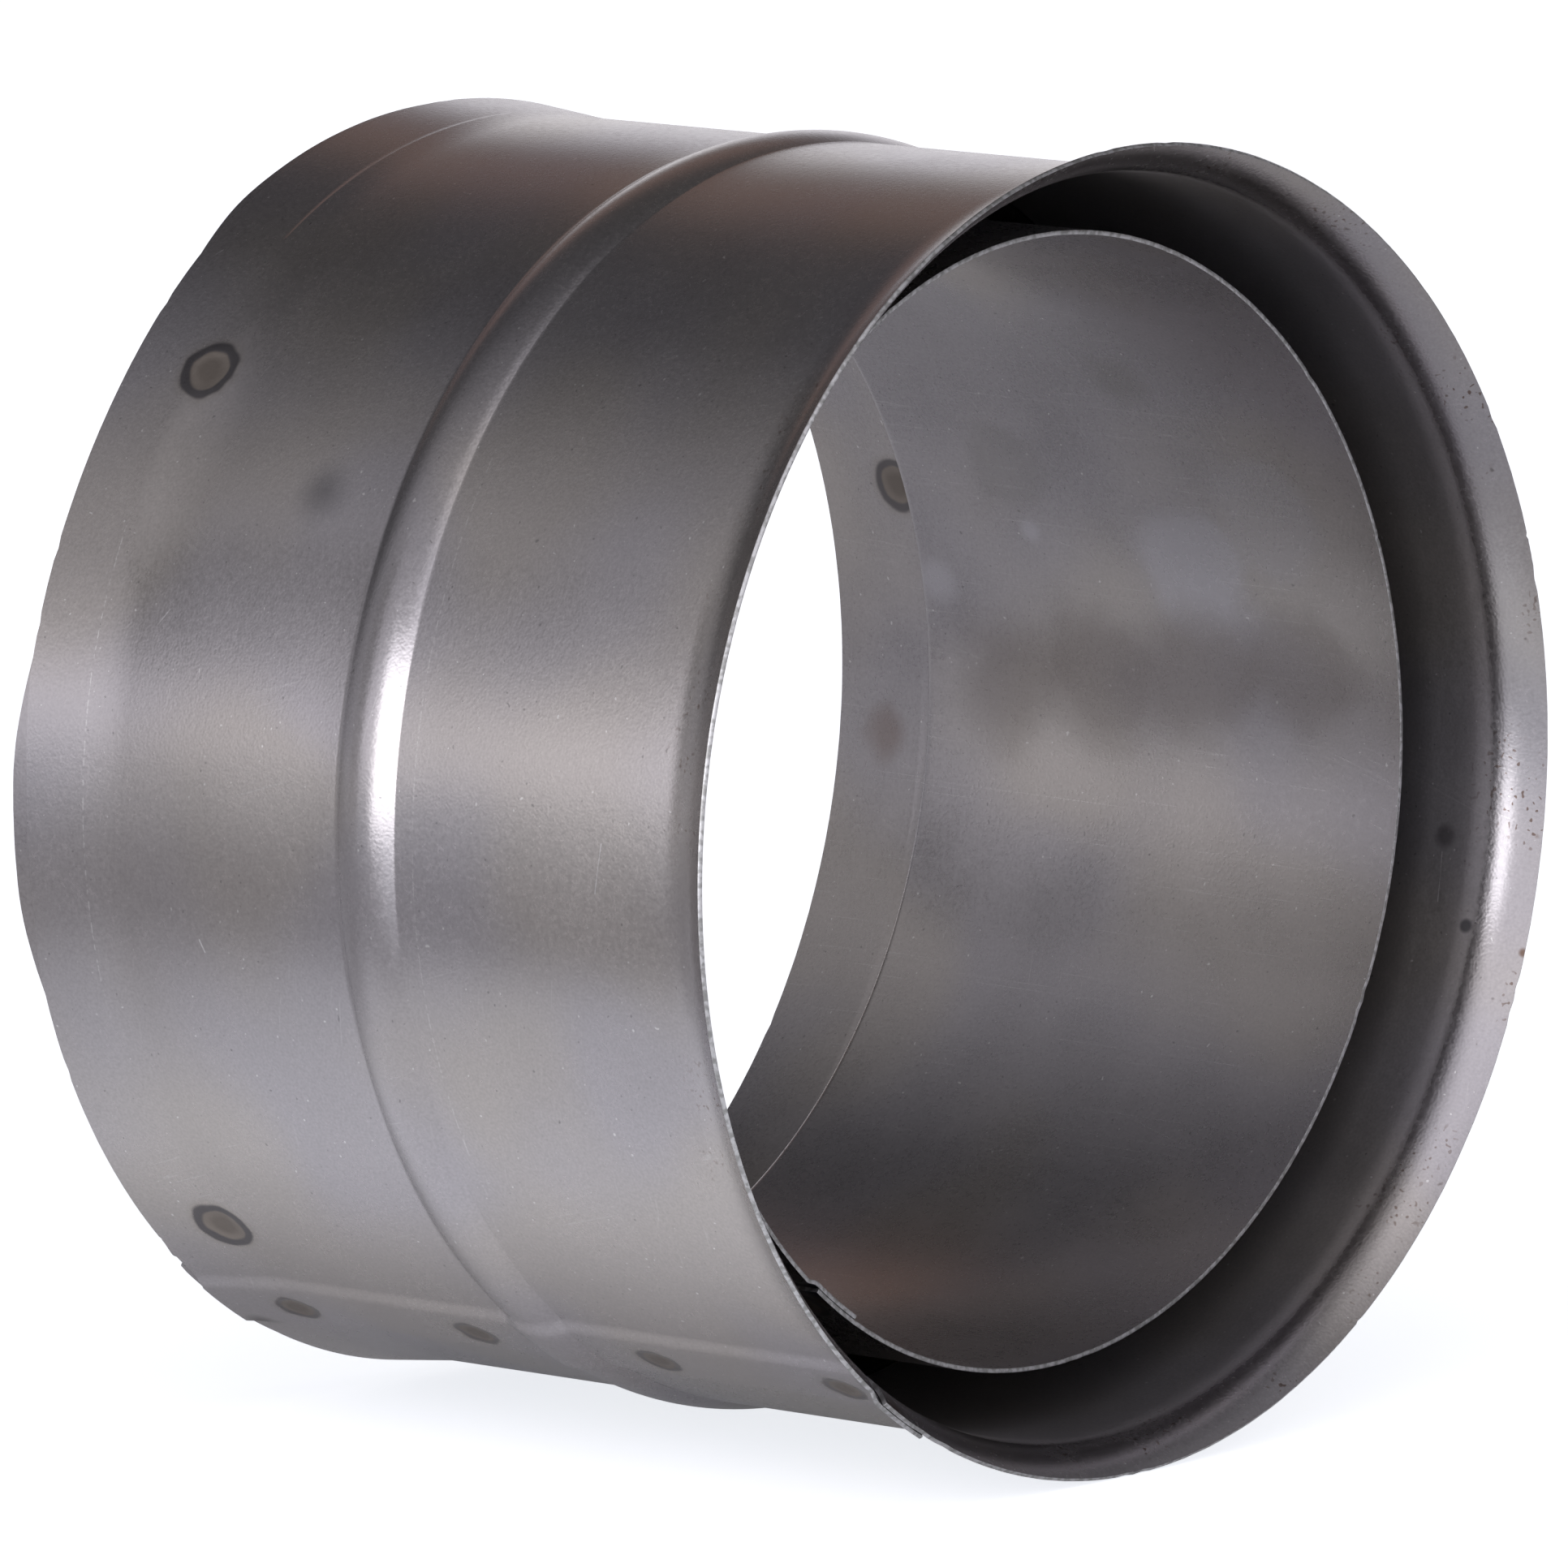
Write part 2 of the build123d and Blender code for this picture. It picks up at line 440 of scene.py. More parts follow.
class SheetPainter:
    """Lays the colours of a sheet's finish one over the other."""

    def __init__(self, finish: SheetFinish) -> None:
        """Opens the material and makes the noises that its layers share.

        Args:
            finish: The finish.
        """
        self.finish = finish
        self.material = bpy.data.materials.new(finish.name)
        self.canvas = canvas = Canvas.of(self.material)
        self.place = place = canvas.node("ShaderNodeTexCoord").outputs["Object"]
        self.x, self.y, self.z = canvas.parts(place)
        self.turn = (-self.x).arctan2(self.z)
        self.grain = canvas.noise(place, GRAIN_SCALE, 0.0)
        self.speckle = canvas.noise(place, SPECKLE_SCALE, 1.0)
        self.cloud = canvas.noise(place, CLOUD_SCALE, 2.0)
        self.patch = canvas.noise(place, PATCH_SCALE, 1.0)
        self.colour: Any = finish.tint
        self.roughness: Term = finish.roughness

    def paint(self) -> bpy.types.Material:
        """Lays all layers and ends the material.

        Returns:
            The material.
        """
        scratched = self._scratches()
        self.roughness = self.roughness + (self.speckle - 0.5) * 0.12
        self.roughness = self.roughness + (self.cloud - 0.5) * 0.08 - scratched * 0.08
        self._sheet(scratched)
        self._specks()
        self._marks()
        self._welds()
        radius = (self.x * self.x + self.z * self.z).root()
        dull = radius.step(self.finish.dull_within + 0.3 * MM, self.finish.dull_within)
        height = (self.grain - 0.5) * (0.007 * MM) + (self.speckle - 0.5) * (0.009 * MM)
        self.canvas.metal(self.colour, self.roughness + dull * 0.16, height, 1.0 - dull * 0.10)
        return self.material

    def _lay(self, share: Term, colour: Any, mode: str = "MIX") -> None:
        """Lays that share of a colour over the layers so far."""
        self.colour = self.canvas.blend(share, self.colour, colour, mode)

    def _sheet(self, scratched: Value) -> None:
        """Lays the bare sheet's mottling and its scratches.

        Args:
            scratched: The scratches' mask.
        """
        level = 1.0 + (self.grain - 0.5) * 0.16 + (self.speckle - 0.5) * 0.12
        level = level + (self.cloud - 0.5) * self.finish.mottle
        level = level + (self.patch - 0.5) * (1.6 * self.finish.mottle)
        self._lay(1.0, self.canvas.vector(level, level, level), "MULTIPLY")
        warmth = self.canvas.blend(self.patch.step(0.38, 0.62), COOL_SHEET, WARM_SHEET)
        self._lay(1.0, warmth, "MULTIPLY")
        self._lay(scratched * 0.5, SCRATCHED)

    def _scratches(self) -> Value:
        """Makes fine straight scratches that come and go.

        Returns:
            A mask from 0 to 1.
        """
        axial = self._scratch_set(1100.0, 16.0, 0.3) * self.cloud.step(0.54, 0.62)
        round_it = self._scratch_set(34.0, 1400.0, -0.2) * self.cloud.step(0.47, 0.40)
        total = axial * self.finish.scratches + round_it * self.finish.scratches
        if self.finish.axial_scratches:
            total = total + self._scratch_set(1500.0, 9.0, 0.02) * self.finish.axial_scratches
        return total

    def _scratch_set(self, along_run: float, along_axis: float, tilt: float) -> Value:
        """Makes one set of nearly parallel scratches.

        Args:
            along_run: The noise's scale round the sheet.
            along_axis: Its scale along the axis.
            tilt: The set's turn in radians.

        Returns:
            A mask from 0 to 1.
        """
        flat = self.canvas.vector(self.turn * SLEEVE_RADIUS, self.y, 0.0)
        inputs = {"Vector": flat, "Angle": tilt}
        rotate = {"rotation_type": "Z_AXIS"}
        turned = self.canvas.node("ShaderNodeVectorRotate", rotate, inputs).outputs[0]
        scaled = self.canvas.vector_math("MULTIPLY", {0: turned, 1: (along_run, along_axis, 1.0)})
        return self.canvas.noise(scaled, 1.0, 0.0).bump_at(0.66, 0.012)

    def _specks(self) -> None:
        """Lays rust-brown specks towards the mouth, rare pits, fine glints, and bright lines that
        are partly rollers' marks and partly painted highlights.
        """
        dots = self.canvas.noise(self.place, DOT_SCALE, 0.0)
        start = self.finish.rust_from
        rusty = self.cloud.step(0.48, 0.66) * self.y.step(start, start - self.finish.rust_fade)
        self._lay(dots.step(0.69, 0.74) * rusty * 0.75, RUST)
        self._lay(dots.step(0.83, 0.86) * 0.4, PIT)
        self._lay(dots.step(0.165, 0.13) * 0.5, GLINT)
        # Bright lines laid only over the lit side: partly rollers' marks, partly painted highlights.
        for line in self.finish.lines:
            first, last = math.radians(line.first_angle), math.radians(line.last_angle)
            along = self.turn.between(first, last, line.fade)
            share = self.y.bump_at(INNER_FRONT - line.station, line.half_width) * along
            self._lay(share * self.speckle.step(0.38, 0.62) * line.strength, ROLLED_LINE_HIGHLIGHT)

    def _marks(self) -> None:
        """Lays the stains, the painted reflections and painted shade, and the short scratches."""
        # Stains, painted reflections and painted shade are all laid here as patches.
        for stain_and_painted_light in self.finish.stains_and_painted_light:
            near = self.canvas.distance(self.place, stain_and_painted_light.place)
            if stain_and_painted_light.ragged:
                near = near + (self.cloud - 0.5) * (stain_and_painted_light.ragged * stain_and_painted_light.radius)
            share = near.step(stain_and_painted_light.radius, stain_and_painted_light.core * stain_and_painted_light.radius)
            self._lay(share * stain_and_painted_light.strength, stain_and_painted_light.colour)
        for kind in self.finish.nicks:
            lines = (self.canvas.distance_to_line(self.place, *ends) for ends in kind.ends)
            share = reduce(Value.least, lines).step(kind.width, 0.3 * kind.width)
            self._lay(share * (0.4 + self.speckle) * kind.strength, kind.colour)

    def _welds(self) -> None:
        """Lays the heat colours and the dull discs of the spot welds."""
        wobble = (self.canvas.noise(self.place, WOBBLE_SCALE, 0.0) - 0.5) * (0.8 * MM)
        for weld in self.finish.welds:
            centres = (self.canvas.distance(self.place, centre) for centre in weld.places)
            near = reduce(Value.least, centres) + wobble
            inside = near.step(weld.disc + weld.rim_width, weld.disc - weld.rim_width)
            heated = near.step(weld.ring + weld.ring_width, weld.ring - weld.ring_width)
            halo = near.step(weld.ring + weld.halo_out, weld.ring - weld.halo_in)
            self._lay(halo * 0.35, HEAT_HALO)
            self._lay(heated * weld.darkness, HEAT_RING)
            to_rim = near.step(0.4 * weld.disc, 0.9 * weld.disc)
            self._lay(inside * 0.95, self.canvas.blend(to_rim, WELD_CENTRE, WELD_RIM))
            self.roughness = self.roughness + inside * 0.10 + heated * 0.05


@dataclass(frozen=True)
class EdgeFinish:
    """The speckled, slightly torn edge of sheared sheet."""

    name: str
    dull: Colour = grey(0.34)
    bright: Colour = (0.60, 0.60, 0.62, 1.0)

    def build(self) -> bpy.types.Material:
        """Makes the material.

        Returns:
            The new material.
        """
        material = bpy.data.materials.new(self.name)
        canvas = Canvas.of(material)
        place = canvas.node("ShaderNodeTexCoord").outputs["Object"]
        torn = canvas.noise(place, TORN_SCALE, 2.0)
        colour = canvas.blend(torn.step(0.36, 0.62), self.dull, self.bright)
        canvas.metal(colour, 0.34 + torn * 0.2, torn * (0.04 * MM))
        return material


@dataclass
class Profile:
    """A sheet's lengthwise line, drawn by straight runs and tangent bends from back to front."""

    station: float
    radius: float
    heading: float = 0.0
    points: list[Triple] = field(default_factory=list)

    def __post_init__(self) -> None:
        """Puts down the first point."""
        self._mark()

    def _mark(self) -> None:
        """Adds the present station, radius and heading to the points."""
        self.points.append((self.station, self.radius, self.heading))

    def straight(self, length: float, cuts: Iterable[float] = ()) -> "Profile":
        """Draws a straight run.

        Args:
            length: The run's length.
            cuts: Stations that need a point of their own on the way.

        Returns:
            The profile itself.
        """
        slope = math.radians(self.heading)
        start, base = self.station, self.radius
        end = start + length * math.cos(slope)
        for station in sorted(cut for cut in cuts if start + 0.1 * MM < cut < end - 0.1 * MM):
            self.station = station
            self.radius = base + (station - start) * math.tan(slope)
            self._mark()
        self.station = end
        self.radius = base + length * math.sin(slope)
        self._mark()
        return self

    def bend(self, radius: float, turn: float, steps: int) -> "Profile":
        """Draws an arc that leaves in the present heading.

        Args:
            radius: The arc's radius.
            turn: Its turn in degrees, outwards if positive.
            steps: How many steps it is drawn in.

        Returns:
            The profile itself.
        """
        side = math.copysign(1.0, turn)
        for _ in range(steps):
            before = math.radians(self.heading)
            self.heading += turn / steps
            after = math.radians(self.heading)
            self.station += side * radius * (math.sin(after) - math.sin(before))
            self.radius += side * radius * (math.cos(before) - math.cos(after))
            self._mark()
        return self

    def straight_to(self, station: float, cuts: Iterable[float] = ()) -> "Profile":
        """Draws a straight run to a station."""
        return self.straight((station - self.station) / math.cos(math.radians(self.heading)), cuts)

    def array(self) -> np.ndarray:
        """Gives the points as rows of station, radius and heading."""
        return np.array(self.points)


@dataclass(frozen=True)
class PressedMark:
    """An electrode's mark in the sheet, at an unwrapped angle along the sheet."""

    angle: float
    station: float
    half_length: float = 2.6 * MM
    half_width: float = 2.6 * MM
    depth: float = 0.16 * MM


def fine_cuts(centres: Iterable[float], half: float, count: int) -> list[float]:
    """Gives values in count steps from half before each centre to half after it."""
    shares = [2.0 * n / count - 1.0 for n in range(count + 1)]
    return [centre + half * share for centre in centres for share in shares]


LEAST_ANGLE = 0.12  # between two rows of a sheet's mesh, in degrees
SHARP_ANGLE = 32.0  # between two faces that meet at a crisp edge, in degrees
CORNER_SHARE = 0.18  # of the thickness, from a cut edge's corner to its flat
PULL_START, PULL_RUN = 34.0 * MM, 30.0 * MM  # station and run over which a weld's pull sets in
DISH_END, DISH_RUN = 1.35, 0.5  # where a pressed mark ends and over what, in its half sizes


@dataclass(frozen=True)
class LapSeam:
    """A joggled lap seam: the sheet steps over its own covered edge."""

    ramp_angle: float
    ramp_run: float
    lap: float
    step: float
    nominal_radius: float
    edge_run: float = 0.5 * MM

    def degrees(self, length: float) -> float:
        """Gives the angle of an arc of that length at the nominal radius."""
        return math.degrees(length / self.nominal_radius)

    @property
    def ramp_end(self) -> float:
        """The angle where the joggle ends."""
        return self.ramp_angle + self.degrees(self.ramp_run)

    @property
    def covered_edge(self) -> float:
        """The angle of the sheet's covered edge."""
        return self.ramp_end + self.degrees(self.edge_run)

    @property
    def flap_end(self) -> float:
        """The unwrapped angle of the sheet's lapping edge."""
        return 360.0 + self.ramp_end + self.degrees(self.lap)

    @property
    def weld_angle(self) -> float:
        """The unwrapped angle of the seam's welds."""
        return 0.5 * (360.0 + self.covered_edge + self.flap_end)

    def unwrapped(self, angle: float) -> float:
        """Gives the same angle on the sheet's single layer past its covered edge."""
        return angle if angle > self.flap_end - 360.0 else angle + 360.0

    def rise(self, angles: np.ndarray) -> np.ndarray:
        """Gives the sheet's offset from its line at each unwrapped angle."""
        start = 360.0 + self.ramp_angle
        return self.step * smooth((angles - start) / (self.ramp_end - self.ramp_angle))

    def angles(self, spacing: float, marks: Sequence[PressedMark]) -> np.ndarray:
        """Gives the angles at which the sheet's mesh has points.

        Args:
            spacing: The usual spacing in degrees.
            marks: Pressed marks that need closer points.

        Returns:
            The unwrapped angles in order.
        """
        usual = np.arange(self.covered_edge, self.flap_end, spacing)
        ramp = np.linspace(359.7 + self.ramp_angle, 360.3 + self.ramp_end, 12)
        close = []
        for mark in marks:
            half = self.degrees(mark.half_width + 1.4 * MM)
            close.append(np.linspace(mark.angle - half, mark.angle + half, 17))
        ends = [self.covered_edge, self.flap_end]
        found = np.unique(np.concatenate([usual, ramp, *close, ends]).round(4))
        kept = [found[0]]
        for angle in found[1:-1]:
            if angle - kept[-1] > LEAST_ANGLE:
                kept.append(angle)
        return np.array([*kept, found[-1]])


@dataclass(frozen=True)
class Swell:
    """A smooth hump over a range of angles, such as a part of an edge that stands back."""

    first: float
    last: float
    soft_before: float
    soft_after: float
    height: float

    def at(self, angles: np.ndarray) -> np.ndarray:
        """Gives the hump's height at each angle, counted round from 0 to 360."""
        round_angles = np.mod(angles, 360.0)
        before = smooth((round_angles - self.first + self.soft_before) / self.soft_before)
        after = smooth((self.last + self.soft_after - round_angles) / self.soft_after)
        return self.height * before * after


def total_height(swells: Iterable[Swell], angles: np.ndarray) -> np.ndarray:
    """Gives the humps' heights together at each angle."""
    return sum((swell.at(angles) for swell in swells), np.zeros(len(angles)))


class Side(Enum):
    """A side of the sheet."""

    INSIDE = 0
    OUTSIDE = 1


@dataclass
class RolledSheet:
    """A rolled sheet of even thickness with a lap seam, built as one closed mesh."""

    name: str
    node: str
    slot: str
    line: np.ndarray
    seam: LapSeam
    marks: tuple[PressedMark, ...]
    marked_side: Side
    finish: SheetFinish
    edge: EdgeFinish
    back_setbacks: tuple[Swell, ...] = ()
    pulled_in: tuple[Swell, ...] = ()
    spacing: float = 1.15
    wavering: float = 0.035 * MM
    nick_depth: float = 0.16 * MM
    nick_share: float = 0.035
    corner_rounding: float = 0.06 * MM
    seed: int = 7

    def build(self) -> bpy.types.Object:
        """Makes the sheet, puts it in place of its plain node and dresses it.

        Returns:
            The new object.
        """
        angles = self.seam.angles(self.spacing, self.marks)
        loop = self._loop()
        vertices = self._vertices(angles, loop)
        faces, rims = self._faces(len(angles), len(loop))
        mesh = bpy.data.meshes.new(self.name)
        mesh.from_pydata(vertices.tolist(), [], faces)
        mesh.materials.append(self.finish.build())
        mesh.materials.append(self.edge.build())
        mesh.polygons.foreach_set("material_index", np.array(rims, dtype=np.int32))
        mesh.polygons.foreach_set("use_smooth", np.ones(len(faces), dtype=bool))
        mesh.set_sharp_from_angle(angle=math.radians(SHARP_ANGLE))
        mesh.update()
        made = bpy.data.objects.new(self.name, mesh)
        bpy.context.scene.collection.objects.link(made)
        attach(made, "root")
        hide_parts(self.node)
        log.info("%s: %d faces", self.name, len(faces))
        return made

    def _loop(self) -> np.ndarray:
        """Goes once round the sheet's section.

        Returns:
            Rows of profile index, share of the thickness and share of the edge's rounding.
        """
        last = len(self.line) - 1
        inner = [(n, 0.0, 1.0 if n in (0, last) else 0.0) for n in range(last + 1)]
        outer = [(n, 1.0, 1.0 if n in (0, last) else 0.0) for n in range(last, -1, -1)]
        front = [(last, CORNER_SHARE, 0.0), (last, 1.0 - CORNER_SHARE, 0.0)]
        back = [(0, 1.0 - CORNER_SHARE, 0.0), (0, CORNER_SHARE, 0.0)]
        return np.array(inner + front + outer + back)

    def _vertices(self, angles: np.ndarray, loop: np.ndarray) -> np.ndarray:
        """Places the mesh's vertices.

        Args:
            angles: The unwrapped angles.
            loop: The section's loop.

        Returns:
            One row of coordinates for each vertex, angle by angle.
        """
        index = loop[:, 0].astype(int)
        share = loop[:, 1]
        station, radius, heading = (self.line[index, column] for column in range(3))
        slope = np.radians(heading)
        rise = self.seam.rise(angles)[:, None] + share[None, :] * SHEET
        opposite = 1.0 - self.marked_side.value
        rise = rise - self._pressed(angles, station) * (share - opposite)[None, :]
        along = station[None, :] - np.sin(slope)[None, :] * rise
        out = radius[None, :] + np.cos(slope)[None, :] * rise - self._pull(angles, station)
        setback = self._setback(angles, loop)
        along = along + np.cos(slope)[None, :] * setback
        out = out + np.sin(slope)[None, :] * setback
        turn = np.radians(angles)[:, None]
        x = -out * np.sin(turn)
        z = out * np.cos(turn)
        y = INNER_FRONT - along
        return np.stack([x, y, z], axis=-1).reshape(-1, 3)

    def _pull(self, angles: np.ndarray, stations: np.ndarray) -> np.ndarray:
        """Gives how far the welds have pulled the back end in at each angle and station."""
        near_back = smooth((PULL_START - stations) / PULL_RUN)
        depth = total_height(self.pulled_in, angles)
        return depth[:, None] * near_back[None, :]

    def _setback(self, angles: np.ndarray, loop: np.ndarray) -> np.ndarray:
        """Gives how far each edge vertex lies back from the cut, with the shear's unevenness.

        Args:
            angles: The unwrapped angles.
            loop: The section's loop.

        Returns:
            Shifts along the line, for each angle and loop point.
        """
        rng = np.random.default_rng(self.seed)
        last = len(self.line) - 1
        at_front = loop[:, 0] == last
        at_back = loop[:, 0] == 0
        uneven = self.wavering * rng.random((len(angles), 2))
        uneven += self.nick_depth * (rng.random((len(angles), 2)) > 1.0 - self.nick_share)
        corner = self.corner_rounding * loop[:, 2]
        stands_back = total_height(self.back_setbacks, angles)
        shift = np.zeros((len(angles), len(loop)))
        shift[:, at_front] = -(uneven[:, :1] + corner[None, at_front])
        shift[:, at_back] = uneven[:, 1:] + corner[None, at_back] + stands_back[:, None]
        return shift

    def _pressed(self, angles: np.ndarray, stations: np.ndarray) -> np.ndarray:
        """Gives the depth of the pressed marks at each angle and station."""
        depth = np.zeros((len(angles), len(stations)))
        for mark in self.marks:
            run = np.radians(angles - mark.angle)[:, None] * self.seam.nominal_radius
            along = (stations[None, :] - mark.station) / mark.half_length
            far = np.hypot(run / mark.half_width, along)
            depth = np.maximum(depth, mark.depth * smooth((DISH_END - far) / DISH_RUN))
        return depth

    def _faces(self, rows: int, columns: int) -> tuple[list[tuple[int, ...]], list[int]]:
        """Joins the vertices.

        Args:
            rows: The number of angles.
            columns: The number of loop points.

        Returns:
            The faces and, for each, 1 on a cut edge and 0 elsewhere.
        """
        last = len(self.line) - 1
        cut_edge = (last, last + 1, last + 2, columns - 3, columns - 2, columns - 1)
        faces, rims = [], []
        for row in range(rows - 1):
            first, second = row * columns, (row + 1) * columns
            for column in range(columns):
                beside = (column + 1) % columns
                faces.append((first + column, first + beside, second + beside, second + column))
                rims.append(int(column in cut_edge))
        caps = [(n, 2 * last + 3 - n, 2 * last + 2 - n, n + 1) for n in range(last)]
        caps += [(last, last + 3, last + 2, last + 1), (0, columns - 1, columns - 2, columns - 3)]
        for base, order in ((0, 1), ((rows - 1) * columns, -1)):
            faces += [tuple(base + n for n in cap)[::order] for cap in caps]
            rims += [1] * len(caps)
        return faces, rims


# The ring welds have drawn both sleeves' back ends in a little on the near side
BACK_END_PULL = (Swell(55.0, 57.0, 24.0, 24.0, 0.75 * MM),)

FLARE_ANGLE = math.degrees(math.atan(FLARE_GROWTH / FLARE_LENGTH))


def weld_marks(seam: LapSeam, stations: Iterable[float], half: float) -> tuple[PressedMark, ...]:
    """Gives the marks of a seam's welds, of that half length, and of the ring welds."""
    ring = [PressedMark(seam.unwrapped(angle), RING_WELD_STATION) for angle in RING_WELD_ANGLES]
    return (*(PressedMark(seam.weld_angle, at, half, 2.2 * MM) for at in stations), *ring)


def seam_centres(seam: LapSeam, stations: Iterable[float], radius: float) -> tuple[Vector, ...]:
    """Gives the centres of a seam's welds at a radius."""
    return tuple(place_at(seam.weld_angle, station, radius) for station in stations)


def ring_centres(radius: float) -> tuple[Vector, ...]:
    """Gives the centres of the welds between the sleeves at a radius."""
    return tuple(place_at(angle, RING_WELD_STATION, radius) for angle in RING_WELD_ANGLES)


def scratch(start: Triple, end: Triple) -> tuple[Vector, Vector]:
    """Gives a scratch's ends, each by its angle and, in millimetres, its station and radius."""
    first, last = (place_at(angle, at * MM, out * MM) for angle, at, out in (start, end))
    return first, last


@dataclass
class OuterSleeve:
    """The outer sleeve: bead, lip, widened back end and a seam that steps outwards."""

    bead_station: float = 60.3 * MM
    bead_height: float = 1.3 * MM
    bead_angle: float = 26.0
    bead_crest: float = 10.0 * MM
    front_foot: float = 1.5 * MM
    flare_bend: float = 60.0 * MM
    weld_stations: tuple[float, ...] = tuple(12.7 * MM + SEAM_WELD_PITCH * n for n in range(4))

    def build(self) -> bpy.types.Object:
        """Makes the sleeve.

        Returns:
            The new object.
        """
        seam = LapSeam(
            ramp_angle=142.1,
            ramp_run=3.0 * MM,
            lap=10.0 * MM,
            step=SHEET + LAP_GAP,
            nominal_radius=SLEEVE_RADIUS,
        )
        sheet = RolledSheet(
            "rolled_outer_sleeve",
            "outer_sleeve",
            "outer_steel",
            self._line(),
            seam,
            weld_marks(seam, self.weld_stations, 3.0 * MM),
            Side.OUTSIDE,
            self._finish(seam),
            EdgeFinish("outer_sheared_edge"),
            back_setbacks=(Swell(90.0, 97.0, 12.0, 9.0, 0.65 * MM),),
            pulled_in=BACK_END_PULL,
        )
        return sheet.build()

    def _finish(self, seam: LapSeam) -> SheetFinish:
        """Describes the sleeve's surface with the marks it bears.

        Args:
            seam: The lap seam.

        Returns:
            The finish.
        """
        wall = 86.0
        stains_and_painted_light = (
            StainAndPaintedLight.at(59.1, 42.3, wall, 6.0, DARK_STAIN, 0.5, 0.0, 0.5),
            StainAndPaintedLight.at(151.0, 3.0, 88.0, 3.4, BLACKENED, 0.7),
            StainAndPaintedLight.at(252.6, 114.0, 85.8, 1.3, DARK_STAIN, 0.85, 0.5, 0.8),
            StainAndPaintedLight.at(260.6, 108.4, 85.4, 2.4, GREY_STAIN, 0.7, 0.3, 1.0),
            StainAndPaintedLight.at(261.5, 121.1, 89.3, 0.7, BROWN_STAIN, 0.8, 0.4, 0.6),
            StainAndPaintedLight.at(251.1, 121.6, 89.6, 0.9, BROWN_STAIN, 0.8, 0.4, 0.6),
            StainAndPaintedLight.at(146.0, 121.0, 89.5, 3.5, BROWN_STAIN, 0.6, 0.2, 0.8),
        )
        ticks = [
            scratch((73.0, 20.0, wall), (71.5, 21.6, wall)),
            scratch((101.0, 29.2, wall), (102.1, 29.9, wall)),
            scratch((243.6, 115.6, 87.0), (242.0, 115.2, 87.0)),
            scratch((36.0, 2.2, 87.3), (35.0, 3.0, 87.2)),
        ]
        for step in range(5):
            angle = 298.6 - 1.5 * step
            ticks.append(scratch((angle, 119.2, 88.0), (angle + 0.3, 120.2, 88.6)))
        hairs = (
            scratch((87.5, 101.5, wall), (92.0, 100.4, wall)),
            scratch((259.1, 108.1, 85.4), (254.5, 108.6, 85.4)),
        )
        in_seam = seam_centres(seam, self.weld_stations, SLEEVE_RADIUS + SHEET)
        in_ring = ring_centres(SLEEVE_RADIUS)
        return SheetFinish(
            "outer_bare_steel",
            tint=(0.43, 0.42, 0.425, 1.0),
            roughness=0.25,
            scratches=0.35,
            rust_from=-3.0 * MM,
            dull_within=85.55 * MM,
            welds=(
                WeldLook(in_seam, disc=2.4 * MM, ring=3.3 * MM, darkness=0.75),
                WeldLook(in_ring),
            ),
            stains_and_painted_light=stains_and_painted_light,
            nicks=(Nicks(tuple(ticks)), Nicks(hairs, width=0.11 * MM)),
            # The bright lines are partly rollers' marks and partly painted highlights on the lit
            # side.
            lines=(RolledLineAndHighlight(10.1 * MM, 67.0, 104.0), RolledLineAndHighlight(68.6 * MM, 55.0, 120.0, 0.3)),
        )

    def _line(self) -> np.ndarray:
        """Draws the inside of the sleeve from its back edge to the lip.

        Returns:
            Rows of station, radius and heading.
        """
        cuts = fine_cuts(self.weld_stations, 4.2 * MM, 12)
        cuts += fine_cuts((RING_WELD_STATION,), 4.2 * MM, 14)
        slant = math.radians(self.bead_angle)
        back_foot = self.bead_height / (1.0 - math.cos(slant)) - self.bead_crest
        front_rise = self.bead_height / (self.bead_crest + self.front_foot)
        front_angle = math.degrees(math.acos(1.0 - front_rise))
        bead_start = self.bead_station - (self.bead_crest + back_foot) * math.sin(slant)
        lip_curve = (LIP_RADIUS - SLEEVE_RADIUS) / (1.0 - math.cos(math.radians(LIP_ANGLE)))
        lip_start = SLEEVE_LENGTH - (lip_curve + SHEET) * math.sin(math.radians(LIP_ANGLE))
        tangent = self.flare_bend * math.tan(math.radians(FLARE_ANGLE / 2.0))
        line = Profile(0.0, SLEEVE_RADIUS - SHEET + FLARE_GROWTH, -FLARE_ANGLE)
        line.straight_to(FLARE_LENGTH - tangent, cuts)
        line.bend(self.flare_bend, FLARE_ANGLE, 7)
        line.straight_to(bead_start, [*cuts, 26.0 * MM, PULL_START])
        line.bend(back_foot, self.bead_angle, 6)
        line.bend(self.bead_crest, -self.bead_angle - front_angle, 18)
        line.bend(self.front_foot, front_angle, 6)
        line.straight_to(lip_start, cuts)
        line.bend(lip_curve + SHEET, LIP_ANGLE, 16)
        return line.array()


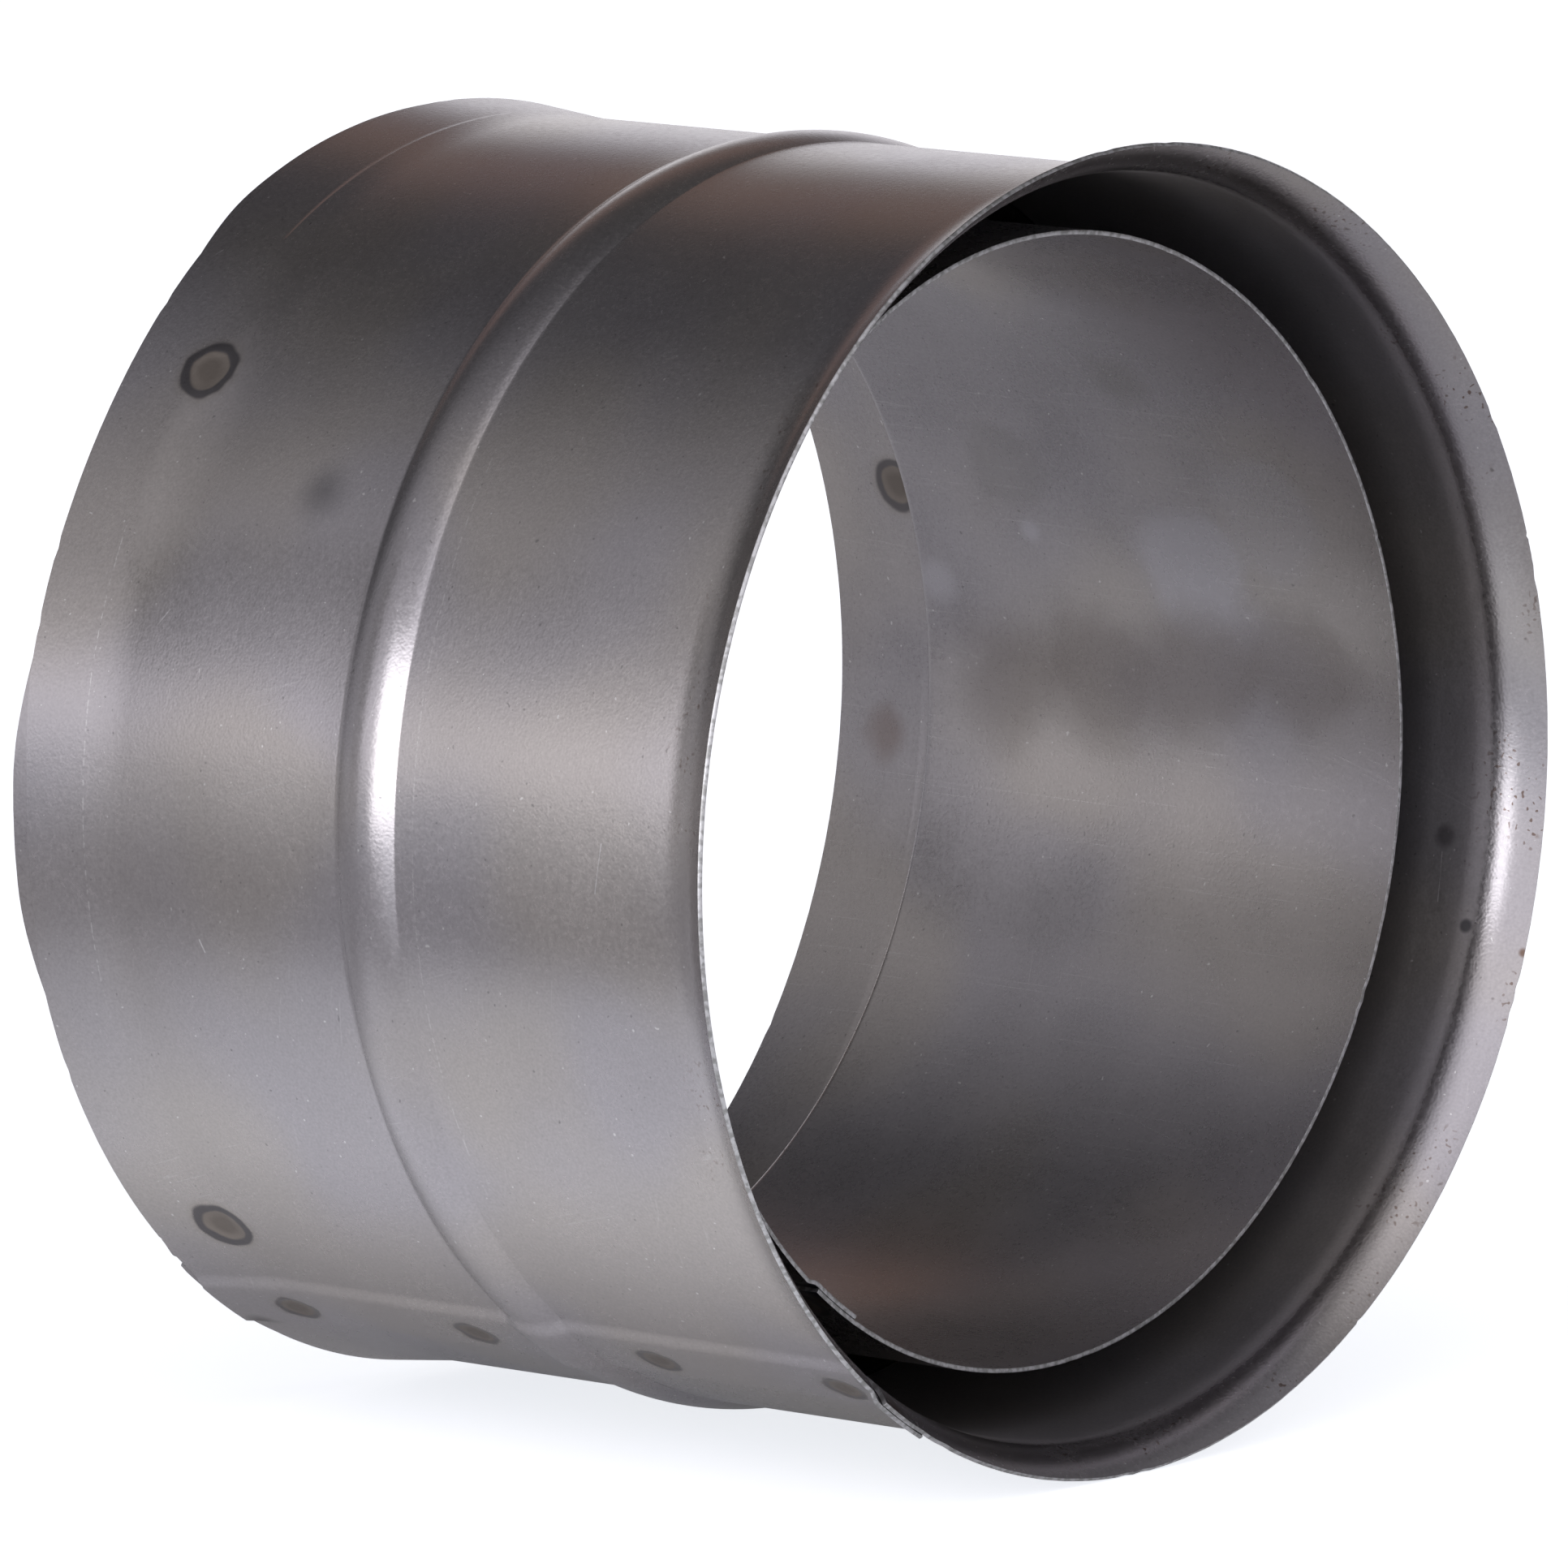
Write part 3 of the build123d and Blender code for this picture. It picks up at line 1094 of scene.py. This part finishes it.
@dataclass
class InnerSleeve:
    """The inner sleeve: plain front edge, shouldered back end and a seam that steps inwards."""

    shoulder_station: float = 17.2 * MM
    shoulder_angle: float = 60.0
    shoulder_root: float = 4.0 * MM
    shoulder_nose: float = 1.8 * MM
    weld_stations: tuple[float, ...] = tuple(
        INNER_FRONT - 5.0 * MM - SEAM_WELD_PITCH * n for n in range(3)
    )

    def build(self) -> bpy.types.Object:
        """Makes the sleeve.

        Returns:
            The new object.
        """
        seam = LapSeam(
            ramp_angle=139.5,
            ramp_run=2.2 * MM,
            lap=9.6 * MM,
            step=-SHEET - LAP_GAP,
            nominal_radius=FLUE_BORE_RADIUS,
        )
        sheet = RolledSheet(
            "rolled_inner_sleeve",
            "inner_sleeve",
            "inner_steel",
            self._line(),
            seam,
            weld_marks(seam, self.weld_stations, 2.6 * MM),
            Side.INSIDE,
            self._finish(seam),
            EdgeFinish("inner_sheared_edge"),
            back_setbacks=(
                Swell(42.0, 72.0, 16.0, 16.0, INNER_PROJECTION),
                Swell(114.0, 132.0, 16.0, 12.0, INNER_PROJECTION),
            ),
            pulled_in=BACK_END_PULL,
            seed=11,
        )
        return sheet.build()

    def _finish(self, seam: LapSeam) -> SheetFinish:
        """Describes the sleeve's surface with the stains it bears and the reflections and shade
        painted on it.

        Args:
            seam: The lap seam.

        Returns:
            The finish.
        """
        bore, strip = 76.5, 84.9
        stains_and_painted_light = [
            StainAndPaintedLight.at(141.5, 106.5, bore, 3.2, BLUE_HEAT, 0.75),
            StainAndPaintedLight.at(143.5, 105.5, bore, 2.4, BROWN_HEAT, 0.6),
            # Painted reflections: light, slightly blue patches painted on the bore's right side.
            StainAndPaintedLight.at(286.2, 72.3, bore, 11.0, PAINTED_REFLECTION, 0.55, 0.6, 1.1),
            StainAndPaintedLight.at(292.0, 88.0, bore, 12.0, PAINTED_REFLECTION, 0.35, 0.5, 1.1),
            StainAndPaintedLight.at(296.0, 41.9, bore, 8.0, DULL_PATCH, 0.45, 0.6, 1.2),
            StainAndPaintedLight.at(288.4, 43.9, bore, 2.6, PAINTED_REFLECTION, 0.7, 0.2, 0.9),
            StainAndPaintedLight.at(281.6, 24.9, 77.5, 4.5, PAINTED_REFLECTION, 0.6, 0.3, 0.9),
            StainAndPaintedLight.at(309.5, 71.0, bore, 6.0, GREY_HAZE, 0.45, 0.1, 1.3),
            StainAndPaintedLight.at(263.8, 7.4, strip, 5.6, RUSTY_HAZE, 0.5, 0.2, 1.4),
            # A painted reflection: a large warm-brown patch painted low on the bore.
            StainAndPaintedLight.at(201.3, 57.8, bore, 22.0, WARM_PAINTED_REFLECTION, 0.35, 0.1, 0.6),
        ]
        # Painted shade: a dark band painted along the bore at about 271 to 276 degrees.
        for station, angle in ((36.0, 271.0), (54.0, 273.0), (72.0, 274.5), (90.0, 276.0)):
            stains_and_painted_light.append(StainAndPaintedLight.at(angle, station, bore, 13.0, PAINTED_DARK_BAND, 0.5, 0.35, 0.9))
        in_seam = seam_centres(seam, self.weld_stations, FLUE_BORE_RADIUS)
        in_ring = ring_centres(strip * MM)
        return SheetFinish(
            "inner_bare_steel",
            tint=(0.40, 0.39, 0.395, 1.0),
            roughness=0.29,
            mottle=0.3,
            scratches=0.25,
            axial_scratches=0.35,
            rust_from=-6.0 * MM,
            welds=(
                WeldLook(in_seam, disc=2.4 * MM, ring=3.4 * MM, darkness=0.5),
                WeldLook(in_ring, disc=2.9 * MM, ring=4.1 * MM, darkness=0.85),
            ),
            stains_and_painted_light=tuple(stains_and_painted_light),
        )

    def _line(self) -> np.ndarray:
        """Draws the inside of the sleeve from its back edge to its front edge.

        Returns:
            Rows of station, radius and heading.
        """
        seat_depth = SHEET + SEAT_GAP + SHEET
        seat_radius = SLEEVE_RADIUS - seat_depth
        flare_end = FLARE_LENGTH - seat_depth * math.tan(math.radians(FLARE_ANGLE / 2.0))
        growth = (flare_end + INNER_PROJECTION) * math.tan(math.radians(FLARE_ANGLE))
        cuts = fine_cuts((RING_WELD_STATION,), 4.2 * MM, 14)
        cuts += fine_cuts(self.weld_stations, 3.8 * MM, 10)
        turn = self.shoulder_angle
        half = math.tan(math.radians(turn / 2.0))
        slope_length = (seat_radius - FLUE_BORE_RADIUS) / math.sin(math.radians(turn))
        line = Profile(-INNER_PROJECTION, seat_radius + growth, -FLARE_ANGLE)
        line.straight_to(flare_end, cuts)
        line.heading = 0.0
        line.straight_to(self.shoulder_station - self.shoulder_root * half, cuts)
        line.bend(self.shoulder_root, -turn, 10)
        line.straight(slope_length - (self.shoulder_root + self.shoulder_nose) * half)
        line.bend(self.shoulder_nose, turn, 10)
        line.straight_to(INNER_FRONT, cuts)
        return line.array()


def show(name: str, mesh: bpy.types.Mesh, material: bpy.types.Material) -> bpy.types.Object:
    """Puts a mesh into the scene.

    Args:
        name: The object's name.
        mesh: Its mesh.
        material: Its material.

    Returns:
        The new object.
    """
    mesh.materials.append(material)
    made = bpy.data.objects.new(name, mesh)
    bpy.context.scene.collection.objects.link(made)
    return made


def flat_mesh(name: str, width: float, height: float) -> bpy.types.Mesh:
    """Makes a flat rectangle round its centre."""
    w, h = 0.5 * width, 0.5 * height
    mesh = bpy.data.meshes.new(name)
    mesh.from_pydata([(-w, -h, 0), (w, -h, 0), (w, h, 0), (-w, h, 0)], [], [(0, 1, 2, 3)])
    return mesh


@dataclass(frozen=True)
class LightCard:
    """A flat card that glows evenly and faces a point, outside the picture."""

    name: str
    place: Triple
    faces: Triple
    width: float
    height: float
    colour: Colour
    strength: float

    def build(self) -> bpy.types.Object:
        """Makes the card, which the steel mirrors and which lights nothing else.

        Returns:
            The new object.
        """
        material = bpy.data.materials.new(self.name)
        canvas = Canvas.of(material)
        look = {"Color": self.colour, "Strength": self.strength}
        glow = canvas.node("ShaderNodeEmission", inputs=look)
        canvas.node("ShaderNodeOutputMaterial", inputs={"Surface": glow.outputs[0]})
        made = show(self.name, flat_mesh(self.name, self.width, self.height), material)
        made.location = self.place
        toward = Vector(self.faces) - Vector(self.place)
        made.rotation_euler = toward.to_track_quat("Z", "Y").to_euler()
        made.visible_diffuse = False
        made.visible_shadow = False
        made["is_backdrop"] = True
        return made


CARD_WHITE = (1.0, 0.985, 1.0, 1.0)
CARD_GREY = (1.0, 0.97, 0.98, 1.0)
CARDS = (
    LightCard("key_card", (-0.40, -0.003, 0.06), (0.0, -0.003, 0.06), 0.326, 0.18, CARD_WHITE, 3.4),
    LightCard("grey_card", (-0.60, 0.83, 0.04), (0.0, 0.83, 0.04), 0.52, 0.25, CARD_GREY, 0.48),
    LightCard("dim_card", (-0.60, 0.83, 0.34), (0.0, 0.83, 0.34), 0.52, 0.35, CARD_GREY, 0.30),
)


@dataclass
class Studio:
    """The floor, the surround, the cards and the camera."""

    floor_size: float = 14.0
    floor_colour: Colour = (0.86, 0.86, 0.87, 1.0)
    fill_colour: Colour = (0.985, 1.015, 1.06, 1.0)
    floor_fill: float = 0.62
    camera_fill: float = 1.2
    room_level: float = 0.09
    left_level: float = 0.68
    peak_level: float = 0.48
    backdrop_level: float = 0.92
    front_levels: tuple[float, float] = (0.25, 0.95)
    warm_level: float = 0.16
    warm_colour: Colour = (1.0, 0.55, 0.42, 1.0)
    camera_place: Triple = (-1.8375, -1.5076, 0.3498)
    camera_looks: Triple = (0.7556, 0.639, -0.1446)
    camera_lens: float = 410.6

    def build(self) -> None:
        """Makes the whole studio."""
        self._floor()
        self._surround()
        for card in CARDS:
            card.build()
        self._camera()

    def _floor(self) -> None:
        """Makes the floor under the lip, lifted to white where the eye sees it, with painted light
        and shade where a mirror sees it.
        """
        material = bpy.data.materials.new("pale_floor")
        material.cycles.emission_sampling = "NONE"
        canvas = Canvas.of(material)
        look = {"Color": self.floor_colour}
        matt = canvas.node("ShaderNodeBsdfDiffuse", inputs=look).outputs[0]
        path = canvas.node("ShaderNodeLightPath").outputs
        rays = ("Is Camera Ray", "Is Glossy Ray", "Is Transmission Ray")
        eye, mirror, glass = (Value(canvas, path[ray]) for ray in rays)
        x, y, _ = canvas.parts(canvas.node("ShaderNodeNewGeometry").outputs["Position"])
        # Painted light and shade for mirrors: the floor's glow is dimmest beneath and behind the
        # tubes, as a painted shadow, and brighter to the left and in front.
        left = -x
        beneath = left.step(0.15, 0.08) * 0.16
        beside = left.step(0.035, 0.09) * left.step(0.26, 0.16) * y.step(0.24, 0.12) * 0.65
        beyond = left.step(0.20, 0.90) * 0.45
        before = left.step(0.20, 0.40) * y.step(0.15, 0.0) * 0.6
        glow = beneath + beside + beyond + before
        strength = (eye * self.camera_fill).most(glow) * self.floor_fill
        look = {"Color": self.fill_colour, "Strength": strength}
        fill = canvas.node("ShaderNodeEmission", inputs=look).outputs[0]
        lifted = canvas.node("ShaderNodeAddShader", inputs={0: matt, 1: fill}).outputs[0]
        seen = eye.most(mirror).most(glass)
        shown = canvas.node("ShaderNodeMixShader", inputs={0: seen, 1: matt, 2: lifted}).outputs[0]
        canvas.node("ShaderNodeOutputMaterial", inputs={"Surface": shown})
        floor = show("floor", flat_mesh("floor", self.floor_size, self.floor_size), material)
        floor.location = (0.0, 0.0, FLOOR_HEIGHT)
        floor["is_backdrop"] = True

    def _surround(self) -> None:
        """Makes the room: a soft light on the left, dark overhead, a bright backdrop on the right.

        Directions are told by degrees round the tubes, from the left up, and by their share y.
        """
        world = bpy.data.worlds.new("studio_surround")
        world.cycles.sampling_method = "NONE"
        bpy.context.scene.world = world
        canvas = Canvas.of(world)
        x, y, z = canvas.parts(canvas.node("ShaderNodeTexCoord").outputs["Generated"])
        around = z.arctan2(-x) * (180.0 / math.pi)
        turned = abs(around)
        left = around.step(102.0, -4.0) * (0.5 + y.step(0.99, 0.74) * 0.5)
        peak = around.bump_at(8.0, 18.0) * y.step(0.92, 0.64)
        backdrop = turned.step(144.0, 166.0) * y.step(-0.1, 0.3)
        front = y.step(0.05, -0.35)
        dim, gain = self.front_levels
        lit_front = dim + (-x).step(-0.35, 0.5) * gain
        room = self.room_level + left * self.left_level + peak * self.peak_level
        level = room * (1.0 - front) + front * lit_front + backdrop * self.backdrop_level
        shade = canvas.vector(level, level * 0.975, level * 1.01)
        warm = turned.bump_at(137.0, 20.0) * y.step(0.1, 0.5)
        colour = canvas.blend(warm * self.warm_level, shade, self.warm_colour, "ADD")
        glow = canvas.node("ShaderNodeBackground", inputs={"Color": colour, "Strength": 1.0})
        canvas.node("ShaderNodeOutputWorld", inputs={"Surface": glow.outputs[0]})

    def _camera(self) -> None:
        """Places the camera at the photograph's viewing angle."""
        data = bpy.data.cameras.new("camera")
        data.sensor_width = 36.0
        data.lens = self.camera_lens
        data.clip_end = 60.0
        camera = bpy.data.objects.new("camera", data)
        camera.location = self.camera_place
        camera.rotation_euler = Vector(self.camera_looks).to_track_quat("-Z", "Y").to_euler()
        bpy.context.scene.collection.objects.link(camera)
        bpy.context.scene.camera = camera


def write_sizes(before: Any, after: Any) -> None:
    """Turns the frame's bounds before and after the scene's own pieces into plain lists and does
    nothing more.

    Args:
        before: The bounds as loaded.
        after: The bounds at the end.
    """
    plain = [[[float(value) for value in corner] for corner in bounds] for bounds in (before, after)]


def main() -> None:
    """Builds the thimble, then the studio round it."""
    logging.basicConfig(level=logging.INFO, format="%(message)s")
    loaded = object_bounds()
    for piece in (OuterSleeve(), InnerSleeve(), Studio()):
        piece.build()
        log.info("%s is built", type(piece).__name__)
    bpy.context.scene.view_settings.view_transform = "Standard"
    write_sizes(loaded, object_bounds())


if __name__ == "__main__":
    main()
